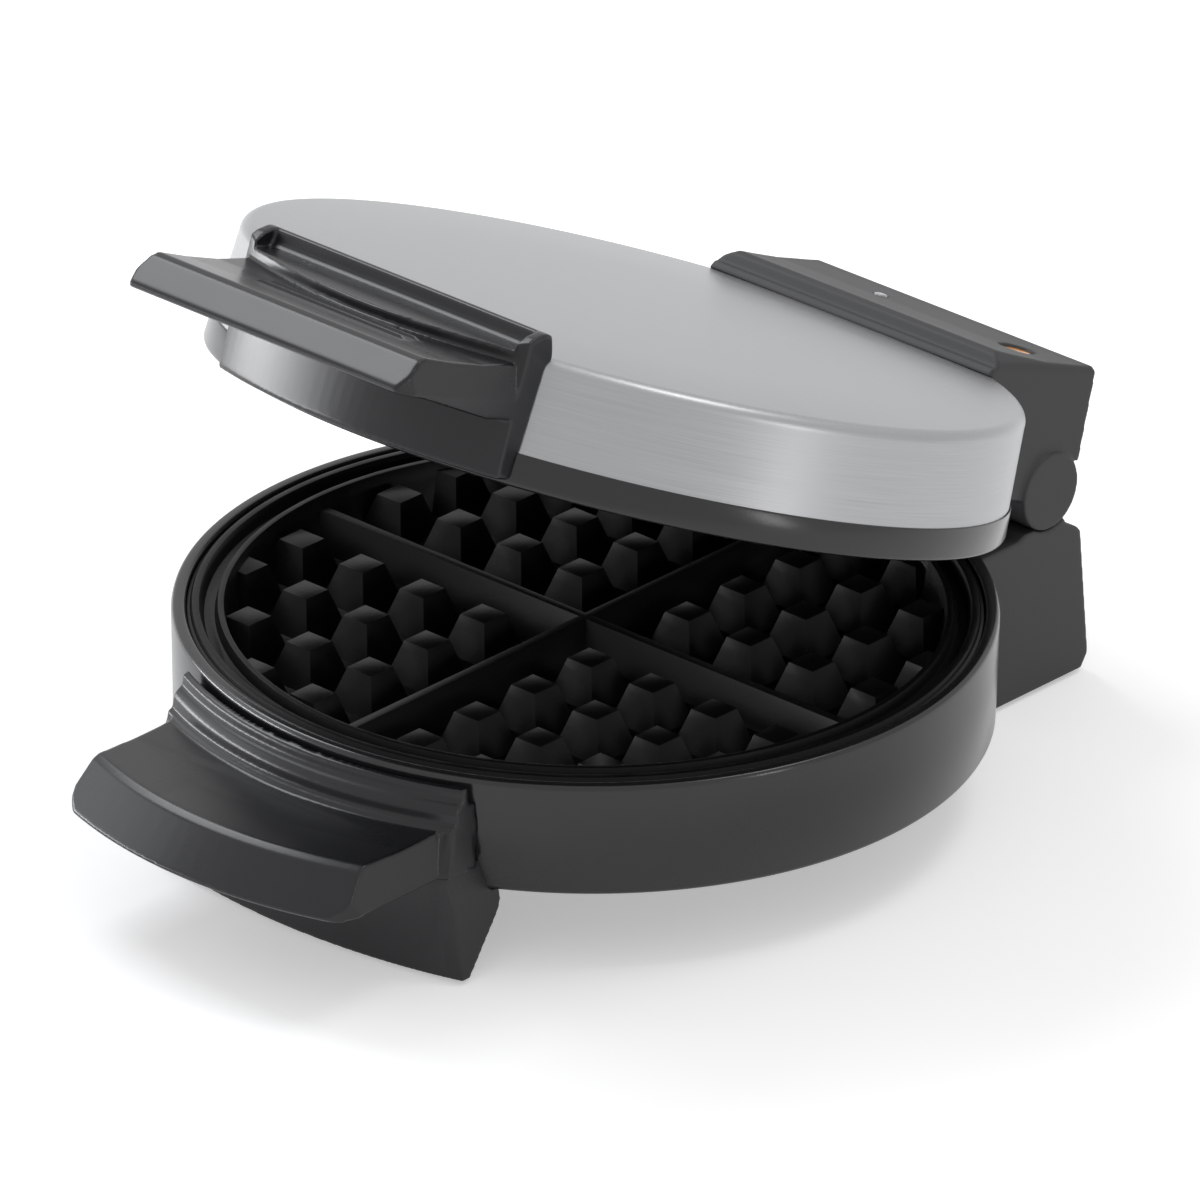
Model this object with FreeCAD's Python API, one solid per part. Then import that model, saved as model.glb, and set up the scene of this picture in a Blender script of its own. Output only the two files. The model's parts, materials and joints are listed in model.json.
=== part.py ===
import FreeCAD, Part
import os
import math

os.makedirs("parts", exist_ok=True)
V = FreeCAD.Vector

# Driving dimensions, in millimetres. The round body's axis is x = y = 0 and the table is z = 0.
# The lid is drawn closed and is turned to its photographed angle at the end.
BODY_R = 110.0          # radius of the base rim
STAND_H = 21.5          # height of the round base above the table
TUB_H = 32.0            # height of the round base
WALL = 2.6              # moulded wall thickness
RIM_GAP = 1.6           # gap between the rims when the lid is closed
LID_RING_H = 9.0        # plastic ring under the metal cover
COVER_H = 25.6          # metal cover, from the ring to the top edge
COVER_T = 0.8           # sheet thickness of the metal cover
COVER_STEP = 1.7        # the cover's lower edge stands in from the body radius by this
COVER_TAPER = 1.5       # how much the cover narrows towards the top
CROWN = 1.1             # rise of the cover's middle
HINGE_BACK = 16.8       # hinge axis behind the base wall
HINGE_RISE = 5.8        # hinge axis above the base rim
HINGE_HALF = 53.2       # half width of the hinge over the lid's knuckles
KNUCKLE_R = 11.0        # end knuckles on the lid
KNUCKLE_W = 16.0        # width of each lid knuckle
KNUCKLE_PROUD = 1.0     # the knuckles stand out from the hinge block's sides by this
PIN_R = 4.0             # hinge pins
PIN_FIT = 0.05          # radial running clearance of the pins in the lid knuckles
OPEN_REST = 20.3        # lid angle in the photograph
HANDLE_HALF = 49.5      # half width of both handles
GRIP_DROP = 11.5        # top of the base grip below the rim
GRIP_T = 13.0           # thickness of the base grip
GRIP_OUT = 47.0         # front of the base grip beyond the base wall
NOSE_R = 140.0          # curve of the base grip's front edge
LEG_R = 200.0           # curve of the front leg's face
LEG_OUT = 8.4           # the leg's face beyond the base wall
LEG_DEEP = 18.0         # depth of the leg at the table
LEG_HALF = 58.0         # half width of the leg at the table
GROOVE_W = 1.8          # groove between the rim and the base handle
GROOVE_D = 6.5
LID_GRIP_OUT = 40.3     # front of the lid grip beyond the base wall
LID_GRIP_DROP = 1.7     # top of the lid grip below the cover's edge
SKIRT_T = 4.6           # the lid handle's skirt stands out from the base radius by this
CHEEK_W = 3.5           # end cheeks of the lid handle
CREST_H = 6.6           # crests of the lid handle and hinge block above the cover
CREST_IN = 13.0         # the straight crests stand in from the base radius by this
FOOT_H = 1.2            # rubber feet below the leg and the tower
FOOT_R = 5.0
PITCH = 22.0            # pitch of the waffle studs
FIRST = 19.2            # first stud from the dividing ridges
STUD_BASE = 7.75        # half width of a stud at the floor
STUD_TIP = 4.25         # half width of a stud at its tip
STUD_H = 11.0
CAVITY = 13.0           # depth of the cooking cavity
PLATE_T = 2.5           # thickness of the cast plates
TUBE_R = 3.3            # heating tube
ELEMENT_R = 66.0        # radius of the heating loop
SCREW_R = 1.5
HEAD_R = 3.0
HEAD_H = 2.0
SEAT = 0.4              # flat seat cut into the curved walls under each screw head
RUN_GAP = 0.4           # clearance between faces that pass each other
FIT = 0.05              # clearance between parts that are fastened together

# Heights that follow from them.
Z_TUB = STAND_H
Z_RIM = Z_TUB + TUB_H
Z_LID = Z_RIM + RIM_GAP
Z_COVER = Z_LID + LID_RING_H
Z_TOP = Z_COVER + COVER_H
HINGE_Y = BODY_R + HINGE_BACK
HINGE_Z = Z_RIM + HINGE_RISE
KNUCKLE_IN = HINGE_HALF - KNUCKLE_W
GRIP_Z = Z_RIM - GRIP_DROP
GRIP_LOW = GRIP_Z - GRIP_T
GRIP_REACH = BODY_R + GRIP_OUT
LID_GRIP_REACH = BODY_R + LID_GRIP_OUT
LID_GRIP_Z = Z_TOP - LID_GRIP_DROP
CREST_R = BODY_R - CREST_IN
Z_CREST = Z_TOP + CREST_H
COVER_R = BODY_R - COVER_STEP
PLATE_R = BODY_R - 4.2
Z_PLATE = Z_RIM - 1.2
Z_UPPER = Z_LID + 1.0
PLATE_BACK = CAVITY + PLATE_T


def poly(points):
    corners = [V(*p) for p in points]
    return Part.Face(Part.makePolygon(corners + [corners[0]]))


def turned(profile):
    face = poly([(r, 0, z) for r, z in profile])
    return face.revolve(V(0, 0, 0), V(0, 0, 1), 360)


def turned_about(profile, y0):
    face = poly([(r, y0, z) for r, z in profile])
    return face.revolve(V(0, y0, 0), V(0, 0, 1), 360)


def along_x(profile, half):
    face = poly([(-half, y, z) for y, z in profile])
    return face.extrude(V(2 * half, 0, 0))


def along_y(profile, y0, y1):
    face = poly([(x, y0, z) for x, z in profile])
    return face.extrude(V(0, y1 - y0, 0))


def upright(profile, z0, z1):
    face = poly([(x, y, z0) for x, y in profile])
    return face.extrude(V(0, 0, z1 - z0))


def block(x0, x1, y0, y1, z0, z1):
    return Part.makeBox(x1 - x0, y1 - y0, z1 - z0, V(x0, y0, z0))


def rod_x(radius, x0, x1, y=None, z=None):
    centre = V(x0, HINGE_Y if y is None else y, HINGE_Z if z is None else z)
    return Part.makeCylinder(radius, x1 - x0, centre, V(1, 0, 0))


def join(shapes):
    whole = shapes[0].multiFuse(shapes[1:])
    return whole.removeSplitter()


def group(shapes):
    return Part.makeCompound(shapes)


# Screws: a head on the near face and a shank along the direction given.
def screw(spot):
    base, way, length = spot
    head = Part.makeCylinder(HEAD_R, HEAD_H, base - way * HEAD_H, way)
    shank = Part.makeCylinder(SCREW_R, length, base, way)
    return head.fuse(shank).removeSplitter()


# Holes for the screws, and the flat seats under heads that sit on a curved wall.
def bores(spots):
    return [Part.makeCylinder(SCREW_R + FIT, s[2] + SEAT, s[0] - s[1] * SEAT, s[1]) for s in spots]


def seats(spots):
    return [Part.makeCylinder(HEAD_R + RUN_GAP, HEAD_H + SEAT, s[0] - s[1] * (HEAD_H + SEAT), s[1]) for s in spots]


def radial_spots(angles, radius, z, length):
    spots = []
    for a in angles:
        way = V(math.cos(math.radians(a)), math.sin(math.radians(a)), 0)
        spots.append((way * radius + V(0, 0, z), way, length))
    return spots


TUB_IN = BODY_R - 0.6 - WALL
STAND_R = COVER_R - COVER_T - FIT
STAND_IN = STAND_R - 4.4
FLANGE_IN = BODY_R - 14.0
COVER_SEAT = BODY_R - 7.8
bottom_spots = [(V((BODY_R - 10.0) * math.cos(a), (BODY_R - 10.0) * math.sin(a), Z_TUB), V(0, 0, 1), 3.9)
                for a in [math.radians(q) for q in (20, 160, 200, 340)]]
handle_spots = radial_spots((-105, -75), TUB_IN + SEAT, Z_TUB + 15.0, 9.0)
tower_spots = radial_spots((77, 103), TUB_IN + SEAT, Z_TUB + 12.0, 10.0)
lid_handle_spots = radial_spots((-105, -75), STAND_IN + SEAT, Z_COVER + 12.0, 9.6)
hinge_block_spots = radial_spots((72, 108), STAND_IN + SEAT, Z_COVER + 12.0, 14.6)

# Base housing: the round dark wall with the rim lip, plate ledge and bottom flange.
base_housing = turned([
    (COVER_SEAT, Z_TUB), (BODY_R - 1.8, Z_TUB), (BODY_R - 0.6, Z_TUB + 1.2), (BODY_R, Z_RIM - 1.2),
    (BODY_R - 0.9, Z_RIM), (BODY_R - 3.2, Z_RIM), (BODY_R - 3.9, Z_RIM - 0.6), (BODY_R - 3.9, Z_RIM - 4.0),
    (BODY_R - 7.8, Z_RIM - 4.0), (BODY_R - 7.8, Z_RIM - 6.2), (TUB_IN, Z_RIM - 8.6), (TUB_IN, Z_TUB + 4.0),
    (FLANGE_IN, Z_TUB + 4.0), (FLANGE_IN, Z_TUB + 2.0), (COVER_SEAT, Z_TUB + 2.0)])
for cut in bores(bottom_spots) + bores(handle_spots + tower_spots) + seats(handle_spots + tower_spots):
    base_housing = base_housing.cut(cut)

# Bottom cover: a vented disc screwed into the underside of the housing.
bottom_cover = Part.makeCylinder(COVER_SEAT - FIT, 2.0, V(0, 0, Z_TUB))
vents = []
for side in (-1, 1):
    for i in range(6):
        vents.append(block(-26.0, 26.0, side * (24.0 + 8.0 * i) - 1.6, side * (24.0 + 8.0 * i) + 1.6,
                           Z_TUB - 1, Z_TUB + 3))
bottom_cover = bottom_cover.cut(group(vents))
for cut in bores(bottom_spots):
    bottom_cover = bottom_cover.cut(cut)
bottom_screws = group([screw(s) for s in bottom_spots])

# Base handle: a beaded saddle on the wall, a curved grip and a leg that stands on the table.
HUG = BODY_R + FIT
SADDLE_R = BODY_R + 8.9
saddle = turned([
    (HUG, Z_RIM - GROOVE_D), (BODY_R + GROOVE_W, Z_RIM - GROOVE_D), (BODY_R + GROOVE_W + 0.2, Z_RIM - 1.4),
    (BODY_R + 3.9, Z_RIM - 1.9), (BODY_R + 4.3, Z_RIM - 4.8), (BODY_R + 6.0, Z_RIM - 5.8),
    (BODY_R + 7.0, Z_RIM - 7.4), (BODY_R + 7.4, GRIP_Z + 1.0), (BODY_R + 8.5, GRIP_Z + 0.6),
    (SADDLE_R, GRIP_Z - 0.2), (SADDLE_R, GRIP_LOW), (HUG, GRIP_LOW)])
LEG_Y = LEG_R - BODY_R - LEG_OUT
LEG_ROOF = GRIP_LOW + 2.0
leg = turned_about([(LEG_R - LEG_DEEP, FOOT_H), (LEG_R, FOOT_H), (LEG_R - 1.2, LEG_ROOF),
                    (LEG_R - LEG_DEEP, LEG_ROOF)], LEG_Y)
POCKET_HALF = 28.0
pocket = turned_about([(LEG_R - LEG_DEEP + WALL, 0), (LEG_R - WALL, 0), (LEG_R - WALL - 1.0, Z_TUB - WALL),
                       (LEG_R - LEG_DEEP + WALL, Z_TUB - WALL)], LEG_Y)
leg = leg.cut(pocket.common(block(-POCKET_HALF, POCKET_HALF, -2 * BODY_R, 0, 0, Z_TUB)))
flank = along_y([(-LEG_HALF, 0), (LEG_HALF, 0), (LEG_HALF - 1.5, Z_TUB), (HANDLE_HALF + 1.5, GRIP_Z),
                 (HANDLE_HALF + 0.5, Z_RIM), (-HANDLE_HALF - 0.5, Z_RIM), (-HANDLE_HALF - 1.5, GRIP_Z),
                 (1.5 - LEG_HALF, Z_TUB)], -2 * BODY_R, -0.5 * BODY_R)
NOSE_Y = NOSE_R - GRIP_REACH
GRIP_ROOT = NOSE_R - GRIP_OUT + 2.0
grip = turned_about([
    (GRIP_ROOT, GRIP_Z - 0.3), (NOSE_R - 24.0, GRIP_Z - 0.8), (NOSE_R - 11.0, GRIP_Z - 0.1),
    (NOSE_R - 8.8, GRIP_Z - 1.2), (NOSE_R - 0.8, GRIP_LOW + 2.0), (NOSE_R, GRIP_LOW + 0.8),
    (NOSE_R - 1.2, GRIP_LOW - 0.2), (NOSE_R - 12.0, GRIP_LOW + 0.6), (GRIP_ROOT, GRIP_LOW + 0.2)], NOSE_Y)
PALM_HALF = HANDLE_HALF + 1.0
palm = upright([(-PALM_HALF, 0), (-PALM_HALF, 15.5 - GRIP_REACH), (1.9 - PALM_HALF, 10.8 - GRIP_REACH),
                (5.7 - PALM_HALF, 7.4 - GRIP_REACH), (12.0 - PALM_HALF, -1.0 - GRIP_REACH),
                (PALM_HALF - 12.0, -1.0 - GRIP_REACH), (PALM_HALF - 5.7, 7.4 - GRIP_REACH),
                (PALM_HALF - 1.9, 10.8 - GRIP_REACH), (PALM_HALF, 15.5 - GRIP_REACH), (PALM_HALF, 0)],
               GRIP_LOW - 1.0, GRIP_Z + 1.0)
PALM_TOP = PALM_HALF - 3.0
draft = along_y([(-PALM_HALF - 0.4, GRIP_LOW - 1.0), (PALM_HALF + 0.4, GRIP_LOW - 1.0), (PALM_TOP, GRIP_Z + 1.0),
                 (-PALM_TOP, GRIP_Z + 1.0)], -2 * BODY_R, 0)
base_handle = join([saddle.common(flank), leg.common(flank), grip.common(palm).common(draft)])
base_handle = base_handle.cut(Part.makeCylinder(HUG, TUB_H + 5.0, V(0, 0, Z_TUB - FIT)))
for cut in bores(handle_spots):
    base_handle = base_handle.cut(cut)
base_handle_screws = group([screw(s) for s in handle_spots])

# Hinge tower: the rear leg, with a shallow cradle and a middle knuckle for the hinge pins.
def at_hinge(dy, dz):
    return (HINGE_Y + dy, HINGE_Z + dz)


TOWER_BACK = HINGE_Y + 17.6
TOWER_HALF = HINGE_HALF - RUN_GAP
TOWER_FRONT = BODY_R + 3.6
hinge_tower = along_x([
    (BODY_R - 18.0, Z_TUB - FIT), (BODY_R - 12.0, FOOT_H), (TOWER_BACK - 2.6, FOOT_H), (TOWER_BACK, FOOT_H + 4.0),
    at_hinge(13.4, -16.4), at_hinge(12.2, -14.9), at_hinge(7.4, -12.0), at_hinge(6.0, -9.8),
    at_hinge(-9.4, -9.8), at_hinge(-12.4, -11.0), (HINGE_Y - 36.0, HINGE_Z - 11.0)], TOWER_HALF)
hinge_tower = hinge_tower.cut(Part.makeCylinder(HUG, 2 * TUB_H, V(0, 0, Z_TUB - FIT)))
hinge_tower = hinge_tower.cut(rod_x(KNUCKLE_R + RUN_GAP, -HINGE_HALF - 1, HINGE_HALF + 1))
NECK = KNUCKLE_IN - RUN_GAP
neck = along_x([at_hinge(-7.5, -16.0), at_hinge(5.4, -16.0), at_hinge(5.4, 0), at_hinge(-7.5, 0)], NECK)
barrel = rod_x(KNUCKLE_R - RUN_GAP, -NECK, NECK)
hinge_tower = join([hinge_tower, neck, barrel])
TOWER_ROOF = HINGE_Z - 20.0
ROOM_HALF = TOWER_HALF - 19.0
hinge_tower = hinge_tower.cut(block(-ROOM_HALF, ROOM_HALF, TOWER_FRONT, TOWER_BACK - 6.0, 0, TOWER_ROOF))
PIN_IN = KNUCKLE_IN - 12.0
PIN_OUT = HINGE_HALF - 4.0
pins = [rod_x(PIN_R, PIN_IN, PIN_OUT), rod_x(PIN_R, -PIN_OUT, -PIN_IN)]
for pin in pins:
    hinge_tower = hinge_tower.cut(pin)
hinge_pins = group(pins)
for cut in bores(tower_spots):
    hinge_tower = hinge_tower.cut(cut)
tower_screws = group([screw(s) for s in tower_spots])
GLAND_X = -20.0
GLAND_Z = 17.0
GLAND_R = 5.0
CORD_R = 3.0


def gland_rod(radius, y0, length):
    return Part.makeCylinder(radius, length, V(GLAND_X, TOWER_BACK + y0, GLAND_Z), V(0, 1, 0))


hinge_tower = hinge_tower.cut(gland_rod(GLAND_R, -9.0, 12.0))
cord_gland = join([gland_rod(GLAND_R + 2.5, 0, 2.0), gland_rod(GLAND_R, -8.5, 9.0)])
cord_gland = cord_gland.cut(gland_rod(CORD_R, -10.0, 20.0))
terminal_block = block(4.0, 30.0, HINGE_Y - 10.8, HINGE_Y + 3.2, TOWER_ROOF - 11.0, TOWER_ROOF)

# Rubber feet: two under the front leg, two under the tower.
LEG_FOOT_X = LEG_HALF - 18.0
LEG_FOOT_Y = LEG_Y - math.sqrt((LEG_R - 0.47 * LEG_DEEP) ** 2 - LEG_FOOT_X ** 2)
TOWER_FOOT_X = 0.5 * (ROOM_HALF + TOWER_HALF)
feet = []
for x, y in ((LEG_FOOT_X, LEG_FOOT_Y), (TOWER_FOOT_X, HINGE_Y - 3.0)):
    for side in (-1, 1):
        feet.append(Part.makeCylinder(FOOT_R, FOOT_H, V(side * x, y, 0)))
rubber_feet = group(feet)


# Grid plate, drawn with the cooking side up and the flange at z = 0.
def grid_plate():
    wall_r = PLATE_R - 9.8
    floor_r = wall_r - 3.5
    dish = turned([
        (0, -CAVITY), (floor_r, -CAVITY), (wall_r, 0.6), (wall_r + 1.6, 0.6), (wall_r + 2.4, -2.2),
        (wall_r + 5.2, -2.2), (wall_r + 6.0, 0), (wall_r + 6.6, 1.2), (wall_r + 8.4, 1.2),
        (wall_r + 9.0, 0), (PLATE_R, -0.2), (PLATE_R, -2.8), (wall_r + 5.8, -2.8), (wall_r + 5.4, -4.6),
        (wall_r + 1.6, -4.6), (floor_r + 2.6, -PLATE_BACK), (0, -PLATE_BACK)])
    room = Part.makeCone(floor_r + 0.3, wall_r + 0.3, CAVITY + 0.6, V(0, 0, -CAVITY))
    low = -CAVITY - 0.5
    grow = 0.5 * (STUD_BASE - STUD_TIP) / STUD_H
    bumps = []
    for i in range(4):
        for j in range(4):
            for sx in (-1, 1):
                for sy in (-1, 1):
                    x = sx * (FIRST + PITCH * i)
                    y = sy * (FIRST + PITCH * j)
                    if math.hypot(abs(x) - STUD_BASE, abs(y) - STUD_BASE) > floor_r - 6.0:
                        continue
                    stud = frustum(x, y, low, -CAVITY + STUD_H, STUD_BASE + grow, STUD_TIP)
                    if math.hypot(abs(x) + STUD_BASE, abs(y) + STUD_BASE) > floor_r:
                        stud = stud.common(room)
                    bumps.append(stud)
    ridge = [(-5.2, low), (5.2, low), (1.3, -3.0), (-1.3, -3.0)]
    across = along_y(ridge, -BODY_R, BODY_R).common(room)
    turn = along_y(ridge, -BODY_R, BODY_R)
    turn.rotate(V(0, 0, 0), V(0, 0, 1), 90)
    cross = across.fuse(turn.common(room))
    return join([dish, cross] + bumps)


def frustum(x, y, z0, z1, half0, half1):
    rings = []
    for z, h in ((z0, half0), (z1, half1)):
        c = [V(x - h, y - h, z), V(x + h, y - h, z), V(x + h, y + h, z), V(x - h, y + h, z)]
        rings.append(Part.makePolygon(c + [c[0]]))
    return Part.makeLoft(rings, True, True)


lower_grid_plate = grid_plate()
upper_grid_plate = lower_grid_plate.copy()
lower_grid_plate.translate(V(0, 0, Z_PLATE))
upper_grid_plate.rotate(V(0, 0, 0), V(1, 0, 0), 180)
upper_grid_plate.translate(V(0, 0, Z_UPPER))


# Heating loop with two straight ends, and the clips that hold it against a plate.
def heating_loop(z):
    loop = Part.makeTorus(ELEMENT_R, TUBE_R, V(0, 0, z), V(0, 0, 1), 0, 360, 320)
    loop.rotate(V(0, 0, 0), V(0, 0, 1), 110)
    ends = []
    for side in (-1, 1):
        x = side * ELEMENT_R * math.sin(math.radians(20))
        y = ELEMENT_R * math.cos(math.radians(20))
        ends.append(Part.makeCylinder(TUBE_R, 18.0, V(x, y, z), V(0, 1, 0)))
    return join([loop] + ends)


def loop_clips(z_back, way):
    clips = []
    depth = 2 * TUBE_R + 1.6
    for a in (-150, -30, 30, 150):
        span = block(ELEMENT_R - TUBE_R - 2.0, ELEMENT_R + TUBE_R + 2.0, -5.0, 5.0, 0, depth)
        hollow = block(ELEMENT_R - TUBE_R - 0.3, ELEMENT_R + TUBE_R + 0.3, -6.0, 6.0, -1, depth - 1.4)
        clip = span.cut(hollow)
        if way < 0:
            clip.rotate(V(0, 0, 0), V(1, 0, 0), 180)
        clip.rotate(V(0, 0, 0), V(0, 0, 1), a)
        clip.translate(V(0, 0, z_back))
        clips.append(clip)
    return group(clips)


LOWER_BACK = Z_PLATE - PLATE_BACK
UPPER_BACK = Z_UPPER + PLATE_BACK
lower_heating_element = heating_loop(LOWER_BACK - TUBE_R)
upper_heating_element = heating_loop(UPPER_BACK + TUBE_R)
lower_element_clips = loop_clips(LOWER_BACK, -1)
upper_element_clips = loop_clips(UPPER_BACK, 1)
thermostat = Part.makeCylinder(8.0, 7.5, V(0, -24.0, LOWER_BACK - 7.5))
thermal_fuse = block(18.0, 34.0, -27.0, -21.0, LOWER_BACK - 5.0, LOWER_BACK)

# Heat reflectors: thin dished sheets behind the plates.
LOWER_SHEET = Z_TUB + 4.0
lower_heat_reflector = turned([
    (12.0, LOWER_SHEET), (FLANGE_IN + 5.0, LOWER_SHEET), (FLANGE_IN + 5.0, LOWER_SHEET + 0.7),
    (12.0, LOWER_SHEET + 0.7)])
UPPER_SHEET = UPPER_BACK + 2 * TUBE_R + 2.6
SHEET_R = STAND_IN + 0.8
upper_heat_reflector = turned([
    (12.0, UPPER_SHEET), (SHEET_R, UPPER_SHEET), (SHEET_R, UPPER_SHEET + 0.7), (12.0, UPPER_SHEET + 0.7)])

# Metal lid cover: a shallow spun dish with a small rounded edge and a slight crown.
edge_r = COVER_R - COVER_TAPER


def cover_line(inset):
    return [
        (COVER_R - inset, Z_COVER), (edge_r - inset, Z_TOP - 3.6), (edge_r - 0.4 - inset, Z_TOP - 2.0),
        (edge_r - 1.4 - 0.7 * inset, Z_TOP - 0.8 - 0.4 * inset), (edge_r - 3.2 - 0.3 * inset, Z_TOP - inset),
        (0.62 * BODY_R, Z_TOP + 0.62 * CROWN - inset), (0, Z_TOP + CROWN - inset)]


lid_cover = turned(cover_line(0) + list(reversed(cover_line(COVER_T))))
for cut in bores(lid_handle_spots + hinge_block_spots):
    lid_cover = lid_cover.cut(cut)

# Lid ring: the plastic ring below the cover, with an upstand that carries the cover and reflector.
ring_in = PLATE_R + 0.3
lid_ring = turned([
    (ring_in, Z_LID), (BODY_R - 2.0, Z_LID), (BODY_R - 0.7, Z_LID + 1.3), (BODY_R - 1.1, Z_COVER - FIT),
    (STAND_R, Z_COVER - FIT), (STAND_R - 0.5 * COVER_TAPER, Z_COVER + 5.0),
    (STAND_R - COVER_TAPER, Z_COVER + 5.6), (STAND_R - COVER_TAPER, UPPER_SHEET), (STAND_IN, UPPER_SHEET),
    (STAND_IN, Z_LID + 6.0), (ring_in - 3.8, Z_LID + 6.0), (ring_in - 3.8, Z_LID + 3.8), (ring_in, Z_LID + 3.8)])
for cut in bores(lid_handle_spots + hinge_block_spots) + seats(lid_handle_spots + hinge_block_spots):
    lid_ring = lid_ring.cut(cut)

# Everything the lid takes up, used to fit the handle and the hinge block round it.
ring_line = [(0, Z_LID - 5), (BODY_R - 0.7 + FIT, Z_LID - 5), (BODY_R - 0.7 + FIT, Z_LID + 1.3),
             (BODY_R - 1.1 + FIT, Z_COVER)]
lid_room = turned(ring_line + cover_line(-FIT))

# Lid handle: a skirt round the front of the lid, a straight crest with a cove and end cheeks, and a grip.
SKIRT_R = BODY_R + SKIRT_T
GUSSET_Z = LID_GRIP_Z - 15.2
lid_skirt = turned([
    (BODY_R - 3.0, Z_LID + 3.0), (SKIRT_R - 0.4, Z_LID + 3.0), (SKIRT_R, Z_LID + 4.4), (SKIRT_R, LID_GRIP_Z - 6.0),
    (BODY_R - 3.0, LID_GRIP_Z - 6.0)])
lid_skirt = lid_skirt.common(block(-HANDLE_HALF, HANDLE_HALF, -2 * BODY_R, -0.5 * BODY_R, 0, Z_CREST))
crest_back = [(-CREST_R + 4.2, GUSSET_Z), (-CREST_R + 4.2, Z_TOP), (-CREST_R + 3.6, Z_TOP + 2.4),
              (-CREST_R + 2.0, Z_CREST - 0.5), (-CREST_R + 0.4, Z_CREST)]
cove = [(-CREST_R - 1.2, Z_CREST - 0.6), (-CREST_R - 2.0, Z_TOP + 4.0), (-CREST_R - 3.8, Z_TOP + 1.7),
        (-CREST_R - 8.0, Z_TOP + 1.2), (-SKIRT_R - 1.0, Z_TOP + 0.4), (-SKIRT_R - 1.0, GUSSET_Z)]
cheek_line = [(-CREST_R - 1.2, Z_CREST - 0.2), (-CREST_R - 4.6, Z_CREST - 1.4), (-CREST_R - 8.0, Z_CREST - 4.0),
              (-SKIRT_R - 1.0, LID_GRIP_Z - 0.8), (-SKIRT_R - 1.0, GUSSET_Z)]
cap = along_x(crest_back + cove, HANDLE_HALF)
cheeks = along_x(crest_back + cheek_line, HANDLE_HALF)
cheeks = cheeks.cut(along_x(crest_back + cheek_line, HANDLE_HALF - CHEEK_W))
lid_round = Part.makeCylinder(SKIRT_R, Z_CREST + 5.0)
lid_grip = along_x([
    (-CREST_R - 6.0, LID_GRIP_Z - 0.4), (-BODY_R - 7.0, LID_GRIP_Z - 1.2), (-BODY_R - 20.0, LID_GRIP_Z - 0.8),
    (9.0 - LID_GRIP_REACH, LID_GRIP_Z), (6.8 - LID_GRIP_REACH, LID_GRIP_Z - 0.9),
    (0.7 - LID_GRIP_REACH, LID_GRIP_Z - 7.6), (-LID_GRIP_REACH, LID_GRIP_Z - 8.8),
    (1.3 - LID_GRIP_REACH, LID_GRIP_Z - 9.8), (10.0 - LID_GRIP_REACH, LID_GRIP_Z - 10.4),
    (-BODY_R - 3.0, GUSSET_Z), (-CREST_R - 6.0, GUSSET_Z)], HANDLE_HALF)
lid_palm = upright([(-HANDLE_HALF, 0), (-HANDLE_HALF, 6.0 - LID_GRIP_REACH), (3.0 - HANDLE_HALF, -LID_GRIP_REACH - 1),
                    (HANDLE_HALF - 3.0, -LID_GRIP_REACH - 1), (HANDLE_HALF, 6.0 - LID_GRIP_REACH), (HANDLE_HALF, 0)],
                   Z_LID, Z_CREST)
LID_PALM_TOP = HANDLE_HALF - 2.4
lid_draft = along_y([(-HANDLE_HALF, GUSSET_Z), (HANDLE_HALF, GUSSET_Z), (HANDLE_HALF, LID_GRIP_Z - 10.0),
                     (LID_PALM_TOP, LID_GRIP_Z + 1.0), (-LID_PALM_TOP, LID_GRIP_Z + 1.0),
                     (-HANDLE_HALF, LID_GRIP_Z - 10.0)], -2 * BODY_R, 0)
lid_handle = join([lid_skirt, cap.common(lid_round), cheeks.common(lid_round),
                   lid_grip.common(lid_palm).common(lid_draft)])
lid_handle = lid_handle.cut(lid_room)
for cut in bores(lid_handle_spots):
    lid_handle = lid_handle.cut(cut)
lid_handle_screws = group([screw(s) for s in lid_handle_spots])

# Lid hinge block: a housing behind the lid with a straight crest and an end knuckle on each side.
BLOCK_TOP = Z_TOP + 3.9
BLOCK_BACK = HINGE_Y + 10.2
BLOCK_LOW = HINGE_HALF - KNUCKLE_PROUD
BLOCK_HIGH = BLOCK_LOW - 2.0
lid_hinge_block = along_x([
    (CREST_R - 6.0, Z_LID + 1.0), (CREST_R - 6.0, Z_TOP + 0.6), (CREST_R - 4.6, Z_TOP + 2.2),
    (CREST_R - 3.6, Z_TOP + 2.2), (CREST_R - 1.8, Z_CREST - 1.2), (CREST_R, Z_CREST - 0.3),
    (CREST_R + 6.0, Z_CREST - 1.0), (HINGE_Y - 10.0, BLOCK_TOP + 0.4), (BLOCK_BACK - 6.0, BLOCK_TOP),
    (BLOCK_BACK - 1.0, BLOCK_TOP), (BLOCK_BACK, BLOCK_TOP - 1.2), (BLOCK_BACK, HINGE_Z + 8.4), at_hinge(0, 8.4),
    at_hinge(0, 0), at_hinge(-10.0, -3.2)], BLOCK_LOW)
top_trim = along_y([(-BLOCK_LOW, 0), (BLOCK_LOW, 0), (BLOCK_LOW, HINGE_Z + 6.0), (BLOCK_HIGH, BLOCK_TOP - 1.6),
                    (BLOCK_HIGH - 0.9, BLOCK_TOP), (BLOCK_HIGH - 4.6, Z_CREST), (4.6 - BLOCK_HIGH, Z_CREST),
                    (0.9 - BLOCK_HIGH, BLOCK_TOP), (-BLOCK_HIGH, BLOCK_TOP - 1.6), (-BLOCK_LOW, HINGE_Z + 6.0)],
                   0, 2 * BODY_R)
lid_hinge_block = lid_hinge_block.common(top_trim).cut(lid_room)
lid_hinge_block = lid_hinge_block.cut(rod_x(KNUCKLE_R, -KNUCKLE_IN, KNUCKLE_IN))
knuckles = [rod_x(KNUCKLE_R, KNUCKLE_IN, HINGE_HALF), rod_x(KNUCKLE_R, -HINGE_HALF, -KNUCKLE_IN)]
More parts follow.
